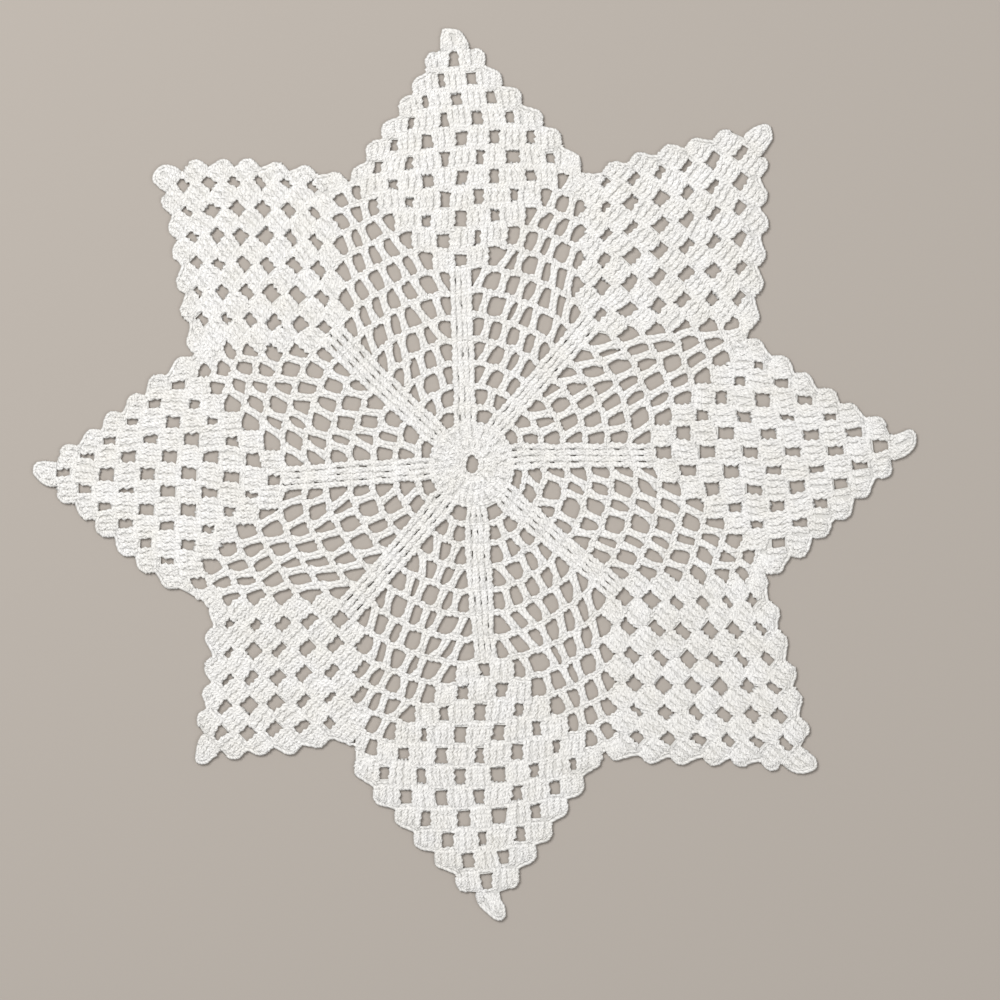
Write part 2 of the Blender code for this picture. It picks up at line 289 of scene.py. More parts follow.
# One arm of a chain link, which its other arm mirrors, and the thread that runs behind both
LINK_ARM = (
    # along, across, height
    (-0.14, 0.10, -0.05),
    (0.22, 0.42, 0.16),
    (0.56, 0.62, 0.24),
    (0.86, 0.50, 0.12),
    (1.14, 0.16, -0.12),
)
LINK_CORE = ((-0.08, 0, 0), (0.5, 0, 0.02), (1.08, 0, 0))
# The heads of an end block's stitches, from its inner to its outer side, as in STEP
SHOULDER_HEIGHTS = (1.0, 0.98, 0.74, 0.40)
SHOULDER_START = -0.75
SHOULDER_SPREAD = 1.42
SHOULDER_PULL = 0.6  # from the block's inner corner to where the first head would be


def polar(place):
    """(distance along the round, radius) of an (across, out) place."""
    across, out = place
    radius = math.hypot(across, out)
    return radius * math.atan2(across, out), radius


def round_radius(rounds, first_round, number):
    """Radius of a round whose number may be a fraction, carried on in a line past both ends."""
    index = min(max(int(math.floor(number)) - first_round, 0), len(rounds) - 2)
    share = number - first_round - index
    return rounds[index] + share * (rounds[index + 1] - rounds[index])


def blend(corners, u, v):
    """Bilinear blend of the values at the near, right, left and far corners."""
    near, right, left, far = corners
    return (near * (1 - u) + right * u) * (1 - v) + (left * (1 - u) + far * u) * v


def hump(share):
    """0 at both ends of a side, 1 in its middle."""
    share = min(max(share, 0.0), 1.0)
    return 4 * share * (1 - share)


def right_of(outward):
    return Vector((outward.y, -outward.x))


class Patch:
    """A diamond of meshes, pulled into place by its corners, its middle and its sides."""

    def __init__(self, axis, side, first_round, rounds, near, left, right, far, middle, bows):
        self.axis = math.radians(axis)
        self.side = side
        self.first_round = first_round
        self.rounds = rounds
        self.bows = bows
        self.widest = first_round + side - 1
        numbers = (first_round, self.widest, self.widest, self.widest + side - 1)
        places = [polar(place) for place in (near, right, left, far)]
        self.across = [along for along, _ in places]
        self.slack = [
            radius - round_radius(rounds, first_round, number)
            for (_, radius), number in zip(places, numbers)
        ]
        along, radius = polar(middle)
        self.sway = along - sum(self.across) / 4
        self.dome = radius - round_radius(rounds, first_round, self.widest) - sum(self.slack) / 4

    def shares(self, number, across):
        """How far a place lies along the right sides (u) and the left sides (v), from 0 to 1."""
        half = (number - self.first_round) / 2
        return (half + across) / (self.side - 1), (half - across) / (self.side - 1)

    def place(self, number, across):
        """(x, y) at a round's number and so many mesh pitches to the right of the axis."""
        u, v = self.shares(number, across)
        near_u, near_v = min(max(1 - u, 0), 1), min(max(1 - v, 0), 1)
        inner_left, inner_right, outer_left, outer_right = self.bows
        from_left = outer_left * hump(u) * (1 - near_v)
        from_right = outer_right * hump(v) * (1 - near_u)
        to_left = inner_left * hump(v) * near_u
        to_right = inner_right * hump(u) * near_v
        radius = round_radius(self.rounds, self.first_round, number) + blend(self.slack, u, v)
        radius += self.dome * (hump(u) + hump(v) - hump(u) * hump(v))
        radius += (from_left + from_right - to_left - to_right) * math.sin(SIDE_SLOPE)
        along = blend(self.across, u, v) + self.sway * hump(u) * hump(v)
        along += (from_right + to_right - from_left - to_left) * math.cos(SIDE_SLOPE)
        angle = self.axis - along / radius
        return Vector((radius * math.cos(angle), radius * math.sin(angle)))

    def outward(self, number, across):
        return (self.place(number + 0.5, across) - self.place(number - 0.5, across)).normalized()

    def rightward(self, number, across):
        return right_of(self.outward(number, across))


def from_axis(axis, place):
    """(x, y) of an (across, out) place."""
    across, out = place
    angle = math.radians(axis)
    outward = Vector((math.cos(angle), math.sin(angle)))
    return outward * out + right_of(outward) * across


def wander(*key):
    """A fixed number from -1 to 1 that belongs to this key."""
    return random.Random("/".join(str(item) for item in key)).uniform(-1, 1)


def point_patch(index):
    axis, side, _, *places = POINTS[index]
    return Patch(axis, side, POINT_FIRST_ROUND, POINT_ROUNDS, *places)


def edge_patch(index):
    axis, side = POINTS[index][:2]
    return Patch(axis, side, POINT_FIRST_ROUND, POINT_ROUNDS, *EDGES[index])


def fan_patch(index):
    axis, *places = FANS[index]
    return Patch(axis, FAN_SIDE, FAN_FIRST_ROUND, FAN_ROUNDS, *places)


def fan_beside(index, hand):
    """The fan on the right (1) or left (-1) of a spoke and its point."""
    return index - 1 if hand > 0 else index


def notch_place(index, hand):
    """(x, y) of the notch there, where the point's edge ends."""
    fan = fan_beside(index, hand)
    return from_axis(FANS[fan][0], NOTCHES[fan])


def step_places(index, number, hand, shares, inset=0.0):
    """Places round the block at a point's edge, on the right (1) or left (-1) hand."""
    patch = edge_patch(index)
    across = hand * (patch.side - (number - POINT_FIRST_ROUND + 1) / 2)
    middle = patch.place(number, across)
    outward = patch.outward(number, across)
    sideways = right_of(outward) * hand
    bulge = 1 + STEP_WANDER * wander("step", patch.axis, number, hand)
    places = []
    for wide, high in shares:
        reach = wide * bulge * BLOCK_WIDTH / 2 - inset
        rise = high * ROUND_HEIGHT / 2 - inset * max(high, 0)
        places.append(middle + sideways * reach + outward * rise)
    return places


def tongue(index, inset=0.0):
    """The outline of a point's tip, from its right foot round to its left foot."""
    axis = POINTS[index][0]
    rim = [from_axis(axis, place) for place in reversed(TONGUES[index])]
    middle = sum(rim, Vector((0, 0))) / len(rim)
    rim = [place + (middle - place).normalized() * inset for place in rim]
    root = from_axis(axis, (0, TONGUE_ROOT))
    return [rim[0] - root, *rim, rim[-1] - root]


def clear_of_notch(places, index, hand, inset):
    """The places that stay clear of the line from the middle through a point's notch."""
    along = notch_place(index, hand).normalized()
    return [place for place in places if hand * along.cross(place) > NOTCH_MARGIN + inset]


def edge_steps(index, hand, inset=0.0):
    """One side of a point's edge, from its notch to its tip."""
    patch = edge_patch(index)
    places = []
    for number in range(patch.widest, patch.widest + patch.side):
        places += step_places(index, number, hand, STEP, inset)
    return clear_of_notch(places, index, hand, inset)


def lace_outline(inset=0.0):
    """The edge of the whole star, anticlockwise from the notch before the first point."""
    outline = []
    for index in range(len(POINTS)):
        notch = notch_place(index, 1)
        outline += [notch * (1 - inset / notch.length), *edge_steps(index, 1, inset)]
        outline += [*tongue(index, inset), *reversed(edge_steps(index, -1, inset))]
    return outline


def meshes_in_round(number):
    return WIDEST_FAN_ROUND - abs(number - WIDEST_FAN_ROUND)


def bar_place(patch, number, bar, rise):
    """Where a bar stands in a round, in mesh pitches from the axis; rise is -1 (foot) to 1."""
    count = meshes_in_round(number)
    across = bar - count / 2
    if 0 < bar < count:
        across += BAR_SPREAD * rise * across / (count / 2)
        foot, head = (BAR_WANDER * wander("bar", patch.axis, number, bar, end) for end in (-1, 1))
        return across + BAR_LEAN * rise + foot + (head - foot) * (rise + 1) / 2
    if number == FAN_FIRST_ROUND:
        return across * (1 + 2 * (FIRST_SPREAD * rise - FIRST_CROWD))
    across += SIDE_SPREAD * rise * across / (count / 2)
    if number > WIDEST_FAN_ROUND:
        return across
    crowding = min((number - 1) * CROWDED_PER_ROUND, 1.0)
    return across + crowding * (SPOKE_ON_LEFT if bar == 0 else -SPOKE_ON_RIGHT)


def fan_side(patch, number, bar, hand, rise, reach=BAR_WIDTH / 2):
    """The side of a bar of the net that faces right (1) or left (-1)."""
    across = bar_place(patch, number, bar, rise)
    return patch.place(number + rise / 2, across) + patch.rightward(number, across) * (hand * reach)


def fan_opening(patch, number, mesh, shy):
    """The ring round a mesh of the net, anticlockwise from its foot, that much wider each way."""
    half_height = 1 - (CHAIN_WIDTH - 2 * shy) / ROUND_HEIGHT
    corners = []
    for share, rise in MESH_RIM:
        level = rise * half_height
        left = fan_side(patch, number, mesh, 1, level, BAR_WIDTH / 2 - shy)
        right = fan_side(patch, number, mesh + 1, -1, level, BAR_WIDTH / 2 - shy)
        corners.append(left.lerp(right, share))
    return corners


# ---- blocks of the points

def blocks_in_round(patch, number):
    """How many blocks a point has in a round."""
    rounds_in = number - POINT_FIRST_ROUND + 2
    return min(rounds_in, 2 * (patch.side + 1) - rounds_in)


def mesh_size(index, number, across):
    """(width, height) of a mesh of a point."""
    patch = point_patch(index)
    u, v = patch.shares(number, across)
    sizes = []
    for near, side, far, middle in (MESH_WIDTHS, MESH_HEIGHTS):
        swell = middle - (near + 2 * side + far) / 4
        size = blend((near, side, side, far), u, v) + swell * hump(u) * hump(v)
        size += SIZE_WANDER * size * wander("size", index, number, across, near)
        sizes.append(size * POINTS[index][2])
    return sizes


def mesh_side(index, number, across, hand, rise, shy=0.0):
    """The right (1) or left (-1) side of a point's mesh; rise is -1 (foot of the round) to 1."""
    patch = point_patch(index)
    width, _ = mesh_size(index, number, across)
    foot, head = (EDGE_WANDER * wander("side", index, number, across, hand, end) for end in (-1, 1))
    reach = hand * (width / 2 + shy) + foot + (head - foot) * (rise + 1) / 2
    return patch.place(number + rise / 2, across) + patch.rightward(number, across) * reach


def point_opening(index, number, across, shy):
    """The ring round a mesh of a point, anticlockwise from its foot."""
    half_height = min((mesh_size(index, number, across)[1] + 2 * shy) / ROUND_HEIGHT, TALLEST_MESH)
    return [
        mesh_side(index, number, across, hand, rise * half_height, shy)
        for hand, rise in ((-1, -1), (1, -1), (1, 1), (-1, 1))
    ]


def overshoot(index, number, across):
    """How far stitches run past a round's line to the mesh that is there."""
    patch = point_patch(index)
    if not all(-ROUNDING < share < 1 + ROUNDING for share in patch.shares(number, across)):
        return PLAIN_OVERSHOOT
    height = mesh_size(index, number, across)[1]
    return max((ROUND_HEIGHT - height) / 2 - END_THICKNESS * LEG_RADIUS, PLAIN_OVERSHOOT)


def point_meshes(index):
    """(round, across) of every mesh of a point."""
    patch = point_patch(index)
    for number in range(POINT_FIRST_ROUND, POINT_FIRST_ROUND + 2 * patch.side - 1):
        count = blocks_in_round(patch, number) - 1
        for mesh in range(count):
            yield number, mesh - (count - 1) / 2


# ---- strands of thread

class Yarn:
    """Strands gathered into one mesh of round tubes with closed ends."""

    def __init__(self, rng):
        self.rng = rng
        self.strands = []

    def add(self, paths, radius, lift=0.0, jitter=JITTER):
        """paths: an array (strand, place along it, xyz) in millimetres."""
        paths = paths + self.rng.normal(0, jitter, paths.shape) * JITTER_SHARES
        paths[:, :, 2] += np.broadcast_to(lift, len(paths))[:, None]
        self.strands.append((paths, radius))

    def mesh(self, name):
        points, faces, spots = [], [], []
        start = 0
        for paths, radius in self.strands:
            rings = tube_rings(paths, radius)
            rings[..., 2] = np.maximum(rings[..., 2], TABLE_GAP)
            count, length = rings.shape[:2]
            firsts = start + np.arange(count) * length * TUBE_SIDES
            reach = np.linalg.norm(np.diff(paths, axis=1), axis=2).sum(axis=1).mean()
            for shape, corners in tube_faces(length):
                faces += (shape + firsts[:, None, None]).reshape(-1, shape.shape[1]).tolist()
                spots.append(np.tile(corners * (reach / (length - 1), 1 / TUBE_SIDES), (count, 1)))
            points.append(rings.reshape(-1, 3))
            start += count * length * TUBE_SIDES
        data = lace_mesh(name, np.concatenate(points), faces)
        layer = data.uv_layers.new(name="strand")
        layer.uv.foreach_set("vector", np.concatenate(spots).astype(np.float32).ravel())
        data.shade_smooth()
        return data


def tube_rings(paths, radius):
    """Rings of points round each strand, smaller at its ends."""
    thickness = np.ones(paths.shape[1])
    thickness[[0, -1]] = END_THICKNESS
    ahead = np.gradient(paths, axis=1)
    ahead /= np.linalg.norm(ahead, axis=2, keepdims=True)
    sideways = np.cross(ahead, (0.0, 0.0, 1.0))
    sideways /= np.maximum(np.linalg.norm(sideways, axis=2, keepdims=True), 1e-6)
    upward = np.cross(sideways, ahead)
    turns = 2 * np.pi * (np.arange(TUBE_SIDES) + 0.5) / TUBE_SIDES
    offsets = (
        sideways[:, :, None] * np.cos(turns)[:, None]
        + upward[:, :, None] * np.sin(turns)[:, None] * FLATNESS
    )
    return paths[:, :, None] + offsets * (radius * thickness)[:, None, None]


def tube_faces(length):
    """One strand's sides, then its caps: their corners, and each corner's (ring, side)."""
    sides = range(TUBE_SIDES)
    quads = [
        [(ring, side), (ring, side + 1), (ring + 1, side + 1), (ring + 1, side)]
        for ring in range(length - 1) for side in sides
    ]
    caps = [(0, side) for side in reversed(sides)], [(length - 1, side) for side in sides]
    for shape in (np.array(quads), np.array(caps)):
        yield shape[..., 0] * TUBE_SIDES + shape[..., 1] % TUBE_SIDES, shape.reshape(-1, 2)


def lace_mesh(name, points, faces):
    """A mesh in metres in the frame, of points in millimetres round the ring."""
    data = bpy.data.meshes.new(name)
    data.from_pydata((points - (*lace_middle, 0.0)) * MILLIMETRE, [], faces)
    return data


def as_array(places):
    return np.array([tuple(place) for place in places])


def oval(width, height, count):
    """Places round an oval of those half sizes, anticlockwise."""
    turns = [2 * math.pi * step / count for step in range(count)]
    return [Vector((width * math.cos(turn), height * math.sin(turn))) for turn in turns]


def lay(feet, heads, table, half_width=1.0, bows=0.0, waist=1.0):
    """Paths of a template from each foot to each head. The table's rows: along, across, height."""
    rows = np.array(table, float)
    run = heads - feet
    ahead = run / np.linalg.norm(run, axis=1, keepdims=True)
    sideways = np.stack([ahead[:, 1], -ahead[:, 0]], axis=1)
    swell = (4 * rows[:, 0] * (1 - rows[:, 0])).clip(0)
    half_width, bows, waist = (
        np.broadcast_to(item, len(feet))[:, None] for item in (half_width, bows, waist)
    )
    across = half_width * rows[:, 1] * (1 - (1 - waist) * swell) + bows * swell
    paths = np.empty((len(feet), len(rows), 3))
    paths[:, :, :2] = feet[:, None] + run[:, None] * rows[:, :1] + sideways[:, None] * across[..., None]
    paths[:, :, 2] = MIDDLE_HEIGHT + rows[:, 2]
    return paths


class Stitches:
    """The posts and chain links of one part of the lace."""

    def __init__(self):
        self.posts, self.bars, self.heads, self.links, self.rims = ([] for _ in range(5))

    def post(self, foot, head, half_width=POST_HALF_WIDTH, bow=0.0, before=0.0, after=0.0, waist=1.0):
        """A stitch that starts so far before its foot and ends so far after its head."""
        ahead = (head - foot).normalized()
        foot, head = foot - ahead * before, head + ahead * after
        self.posts.append((foot.x, foot.y, head.x, head.y, half_width, bow, waist))

    def posts_between(
        self, sides, pinch=1.0, bulge=0.0, before=0.0, after=0.0, waist=1.0, count=BLOCK_STITCHES
    ):
        """Posts side by side. Sides: foot left, foot right, head left, head right."""
        foot_left, foot_right, head_left, head_right = sides
        half_width = (foot_right - foot_left).length / count / 2
        for stitch in range(count):
            spread = (stitch + 0.5) / count - 0.5
            share = 0.5 + spread * pinch
            foot, head = foot_left.lerp(foot_right, share), head_left.lerp(head_right, share)
            arch = BLOCK_ARCH * (1 - 8 * spread * spread) if bulge else 0.0
            self.post(foot, head, half_width, 2 * spread * bulge, before + arch, after + arch, waist)
            step = (head_right - head_left) * (pinch / count / 2)
            head += (head - foot).normalized() * max(after - HEAD_RADIUS, 0)
            self.heads.append((*(head + step), *(head - step)))

    def stand_on(self, line):
        """Moves the feet of the last block's stitches to where they cross this line."""
        for number in range(len(self.posts) - BLOCK_STITCHES, len(self.posts)):
            x, y, *rest = self.posts[number]
            foot, head = Vector((x, y)), Vector(rest[:2])
            below = foot + (foot - head).normalized() * LONGEST_REACH
            for start, end in zip(line, line[1:]):
                crossing = intersect_line_line_2d(head, below, start, end)
                if crossing:
                    self.posts[number] = (*crossing, *rest)
                    break

    def rim(self, places):
        """A smooth thread along a line of places."""
        line = as_array(places)
        steps = np.linspace(0, len(line) - 1, 2 * len(line) - 1)
        smooth = np.stack([np.interp(steps, range(len(line)), row) for row in line.T], axis=1)
        smooth[1:-1] = (smooth[:-2] + 2 * smooth[1:-1] + smooth[2:]) / 4
        self.rims.append(np.column_stack([smooth, np.full(len(smooth), MIDDLE_HEIGHT)]))

    def chain(self, places, width=LINK_WIDTH, closed=False, sunk=0.0):
        """Links of chain spaced evenly along a line of places."""
        line = as_array(places)
        if closed:
            line = np.concatenate([line, line[:1]])
        lengths = np.linalg.norm(np.diff(line, axis=0), axis=1)
        travelled = np.concatenate([[0.0], np.cumsum(lengths)])
        count = max(1, round(travelled[-1] / LINK_PITCH))
        ends = np.linspace(0, travelled[-1], count + 1)
        xs, ys = (np.interp(ends, travelled, row) for row in line.T)
        for index in range(count):
            self.links.append((xs[index], ys[index], xs[index + 1], ys[index + 1], width, sunk))

    def yarn(self, rng):
        """All strands, a little uneven."""
        yarn = Yarn(rng)
        spins = {post_yarn: self.posts, bar_yarn: self.bars, head_yarn: self.heads, link_yarn: self.links}
        for spin, rows in spins.items():
            if rows:
                spin(yarn, rng, np.array(rows))
        for rim in self.rims:
            yarn.add(rim[None], RIM_RADIUS)
        return yarn


def leg_yarn(yarn, feet, heads, legs, radius, lift, jitter, *shape):
    """The left and right legs of stitches, from the columns of one table."""
    for columns in ((0, 1, 2), (0, 3, 4)):
        yarn.add(lay(feet, heads, legs[:, columns], *shape), radius, lift, jitter)


def post_yarn(yarn, rng, posts):
    count = len(posts)
    posts[:, :4] += rng.normal(0, POST_SHIFT, (count, 4))
    bows = posts[:, 5] * rng.uniform(*POST_BOWS, count) + rng.normal(0, POST_BOW, count)
    half_width = posts[:, 4] * rng.uniform(*POST_WIDTHS, count)
    waist = posts[:, 6] + rng.uniform(-WAIST_SPREAD, WAIST_SPREAD, count)
    feet, heads = posts[:, :2], posts[:, 2:4]
    lift = rng.uniform(-POST_LIFT, POST_LIFT, count)
    shift = rng.uniform(-WRAP_SHIFT, WRAP_SHIFT, count)[:, None] * (heads - feet)
    legs = np.array(LEGS)
    legs[:, [1, 3]] += SWAYED * legs[:, 5:]
    leg_yarn(yarn, feet, heads, legs, LEG_RADIUS, lift, POST_JITTER, half_width, bows, waist)
    yarn.add(lay(feet + shift, heads + shift, WRAP, half_width, bows, waist), WRAP_RADIUS, lift)


def bar_yarn(yarn, rng, bars):
    count = len(bars)
    feet, heads = bars[:, :2], bars[:, 2:]
    bows = rng.normal(0, BAR_BOW, count)
    half_width = BAR_HALF_WIDTH * rng.uniform(*BAR_WIDTHS, count)
    lift = rng.uniform(-BAR_LIFT, BAR_LIFT, count)
    leg_yarn(yarn, feet, heads, np.array(BAR_LEGS), BAR_LEG_RADIUS, lift, JITTER, half_width, bows)
    yarn.add(lay(feet, heads, WRAP, half_width, bows), WRAP_RADIUS, lift)
    yarn.add(lay(feet, heads, BRACE), BRACE_RADIUS)


def head_yarn(yarn, rng, heads):
    heads += rng.normal(0, HEAD_SHIFT, heads.shape)
    yarn.add(lay(heads[:, :2], heads[:, 2:], HEAD), HEAD_RADIUS)


def link_yarn(yarn, rng, links):
    count = len(links)
    links[:, :4] += rng.normal(0, LINK_SHIFT, (count, 4))
    width = links[:, 4] * rng.uniform(*LINK_WIDTHS, count)
    lift = rng.uniform(-LINK_LIFT, LINK_LIFT, count) - links[:, 5]
    starts, ends = links[:, :2], links[:, 2:4]
    for hand in (1, -1):
        yarn.add(lay(starts, ends, LINK_ARM, width * hand), LINK_RADIUS, lift)
    yarn.add(lay(starts, ends, LINK_CORE), CORE_RADIUS, lift)


# ---- stitches of each part

def within(spots, ring):
    """Which of the spots lie inside a ring."""
    starts, ends = ring, np.roll(ring, -1, axis=0)
    x, y = spots[:, :1], spots[:, 1:]
    crossing = (starts[:, 1] > y) != (ends[:, 1] > y)
    slope = (y - starts[:, 1]) / np.where(crossing, ends[:, 1] - starts[:, 1], 1.0)
    hits = crossing & (x < starts[:, 0] + slope * (ends[:, 0] - starts[:, 0]))
    return hits.sum(axis=1) % 2 == 1


def on_lace(place, clearance):
    """Whether a place lies inside the edge, and that far from it."""
    spot = np.array(tuple(place))
    if not within(spot[None], edge_ring)[0]:
        return False
    run = np.roll(edge_ring, -1, axis=0) - edge_ring
    share = ((spot - edge_ring) * run).sum(1) / np.maximum((run * run).sum(1), 1e-9)
    nearest = edge_ring + run * np.clip(share, 0, 1)[:, None]
    return np.linalg.norm(nearest - spot, axis=1).min() > clearance


def trimmed(stitches):
    """Leaves out what would stick out past the edge."""
    for rows in (stitches.links, stitches.posts):
        rows[:] = [row for row in rows if on_lace(np.add(row[:2], row[2:4]) / 2, CLEARANCE)]
    return stitches


def net_side(index, number, hand, rise):
    """Where the net begins on the right (1) or left (-1) of a spoke or point."""
    bar = 0 if hand > 0 else meshes_in_round(number)
    return fan_side(fan_patch(fan_beside(index, hand)), number, bar, hand, rise)


def spoke_sides(index, number):
    """Foot left, foot right, head left, head right of a spoke's block."""
    return [net_side(index, number, hand, rise) for rise in (-1, 1) for hand in (-1, 1)]


def block_sides(index, number, block):
    """The same of a point's block."""
    patch = point_patch(index)
    count = blocks_in_round(patch, number)
    across = block - (count - 1) / 2
    sides = []
    for rise in (-1, 1):
        for hand in (-1, 1):
            if block != (0 if hand < 0 else count - 1):
                sides.append(mesh_side(index, number, across + hand / 2, -hand, rise))
            elif number >= patch.widest:
                sides += step_places(index, number, hand, ((EDGE_BLOCK, rise),))
            else:
                sides.append(net_side(index, number, hand, rise))
    return sides


def point_stitches(index):
    """A spoke and the point that it widens into."""
    patch = point_patch(index)
    stitches = Stitches()
    for number in range(1, WIDEST_FAN_ROUND + 1):
        sides = spoke_sides(index, number)
        stitches.posts_between(sides, before=SPOKE_OVERSHOOT, after=SPOKE_OVERSHOOT, waist=SPOKE_WAIST)
    for number in range(POINT_FIRST_ROUND, patch.widest + patch.side):
        count = blocks_in_round(patch, number)
        for block in range(count):
            across = block - (count - 1) / 2
            before = overshoot(index, number - 1, across)
            after = overshoot(index, number + 1, across)
            sides = block_sides(index, number, block)
            at_end = block in (0, count - 1)
            hand = 1 if block else -1
            if at_end and number >= patch.widest:
                shoulder_block(stitches, index, number, hand, sides, before)
            else:
                stitches.posts_between(sides, BLOCK_PINCH, BLOCK_BULGE, before, after)
            if at_end and number - 1 <= LAST_FAN_ROUND:
                stitches.stand_on(fan_line(fan_patch(fan_beside(index, hand)), number - 1))
        for mesh in range(count - 1):
            across = mesh - (count - 2) / 2
            top = [mesh_side(index, number, across, hand, 1, MESH_TOP_REACH) for hand in (1, -1)]
            stitches.chain(top, BLOCK_LINK_WIDTH, sunk=SUNK)
    for hand in (1, -1):
        edge_rims(stitches, index, hand)
    tip_stitches(stitches, index)
    return stitches


def edge_rims(stitches, index, hand):
    """The thread along one side of a point's edge, and the ones in its corners."""
    notch = notch_place(index, hand)
    start = notch * (1 - 2 * RIM_INSET / notch.length)
    stitches.rim([start, *edge_steps(index, hand, RIM_INSET)])
    patch = edge_patch(index)
    for number in range(patch.widest, patch.widest + patch.side - 1):
        corner = step_places(index, number, hand, STEP[-1:], RIM_INSET + EDGE_LINING)
        corner += step_places(index, number + 1, hand, STEP[:1], RIM_INSET + EDGE_LINING)
        if clear_of_notch(corner, index, hand, RIM_INSET) == corner:
            stitches.rim(corner)


def shoulder_block(stitches, index, number, hand, sides, before):
    """The block at the edge, whose outer stitches are shorter and lean inwards."""
    inner_foot, outer_foot, inner_head, _ = sides if hand > 0 else (sides[1], sides[0], sides[3], None)
    for stitch, high in enumerate(SHOULDER_HEIGHTS):
        share = (stitch + 0.5) / BLOCK_STITCHES
        foot = inner_foot.lerp(outer_foot, share)
        wide = SHOULDER_START + SHOULDER_SPREAD * stitch / (BLOCK_STITCHES - 1)
        head, = step_places(index, number, hand, ((wide, high),))
        if stitch == 0:
            head = inner_head.lerp(head, SHOULDER_PULL)
        stitches.post(foot, head, before=before * (1 - share))


def tip_stitches(stitches, index):
    """The last stitches, gathered into a tongue with two threads round it."""
    rim = tongue(index, RIM_INSET)
    root = (rim[0] + rim[-1]) / 2
    last = len(rim) - 1
    for stitch in range(BLOCK_STITCHES):
        share = (stitch + 0.5) / BLOCK_STITCHES
        along = TIP_MARGIN + share * (last - 2 * TIP_MARGIN)
        head = rim[int(along)].lerp(rim[int(along) + 1], along % 1)
        stitches.post(rim[0].lerp(rim[-1], share), head.lerp(root, TIP_PULL))
    stitches.rim(rim)
    stitches.rim(tongue(index, RIM_INSET + TONGUE_LINING))


def fan_stitches(index):
    """The bars and chain rounds of a fan of net."""
    patch = fan_patch(index)
    stitches = Stitches()
    for number in range(FAN_FIRST_ROUND, LAST_FAN_ROUND + 1):
        count = meshes_in_round(number)
        for bar in range(1, count):
            foot, head = (fan_side(patch, number, bar, 1, rise, reach=0) for rise in (-1, 1))
            stitches.bars.append((*foot, *head))
        stitches.chain(fan_line(patch, number))
    for number, mesh in CLOSED[index]:
        ring = fan_opening(patch, number, mesh, 0.0)
        stitches.posts_between([ring[corner] for corner in MESH_CORNERS], count=2)
    notch_stitches(stitches, patch)
    return stitches


def notch_stitches(stitches, patch):
    """Close stitches above the last round of net, as long as the notch leaves room for."""
    for stitch in range(NOTCH_STITCHES):
        across = NOTCH_SPREAD * ((stitch + 0.5) / NOTCH_STITCHES - 0.5)
        foot = patch.place(LAST_FAN_ROUND + 0.5, across)
        reach = patch.place(LAST_FAN_ROUND + 1.5, across) - foot
        share = 1.0
        while share > NOTCH_SHORTEST and not on_lace(foot + reach * share, NOTCH_CLEARANCE):
            share -= NOTCH_STEP
        if share > NOTCH_SHORTEST:
            stitches.post(foot, foot + reach * share)


def fan_line(patch, number):
    """The chain over a round of net, from right to left, in four steps a mesh."""
    count = meshes_in_round(number)
    line = []
    for step in range(4 * count + 1):
        across = count / 2 - step / 4
        pull = -ZIGZAG * math.cos(math.pi * step / 2)
        pull += LINE_WANDER * wander("line", patch.axis, number, step)
        line.append(patch.place(number + 0.5, across) + patch.outward(number + 0.5, across) * pull)
    return line


def centre_stitches():
    """The ring and the rounds of close stitches round it."""
    stitches = Stitches()
    width, height = (size / 2 + RING_CHAIN for size in RING_HOLE)
    stitches.chain(oval(width, height + RING_TALLER, CENTRE_STEPS), closed=True)
    for start, end, count in CENTRE_ROUNDS:
        half_width = min(math.pi * (start + end) / 2 / count, WIDEST_IN_CENTRE)
        for stitch in range(count):
            turn = 2 * math.pi * (stitch + CENTRE_WANDER * wander("centre", count, stitch)) / count
            outward = Vector((math.cos(turn), math.sin(turn)))
            stitches.post(outward * start, outward * end, half_width)
        places = [place * (end + CENTRE_CHAIN) for place in oval(1, 1, CENTRE_STEPS)]
        stitches.chain(places, closed=True)
    return stitches


def slits(sides):
    """Rings round the gaps between the stitches of a block."""
    foot_left, foot_right, head_left, head_right = sides
    for gap in range(1, BLOCK_STITCHES):
        ring = []
        for share, rise in SLIT:
            across = (gap + share * SLIT_WIDTH) / BLOCK_STITCHES
            ring.append(foot_left.lerp(foot_right, across).lerp(head_left.lerp(head_right, across), rise))
        yield ring


def ground_openings():
    """The rings of every opening in the ground."""
    yield oval(*(size / 2 + GROUND_SHY for size in RING_HOLE), GROUND_HOLE_STEPS)
    for index in range(len(FANS)):
        patch = fan_patch(index)
        for number in range(FAN_FIRST_ROUND, LAST_FAN_ROUND + 1):
            for mesh in range(meshes_in_round(number)):
                if (number, mesh) not in CLOSED[index]:
                    yield fan_opening(patch, number, mesh, GROUND_SHY)
    for index in range(len(POINTS)):
        for number, across in point_meshes(index):
            yield point_opening(index, number, across, GROUND_SHY)
        for number in range(1, WIDEST_FAN_ROUND + 1):
            yield from slits(spoke_sides(index, number))


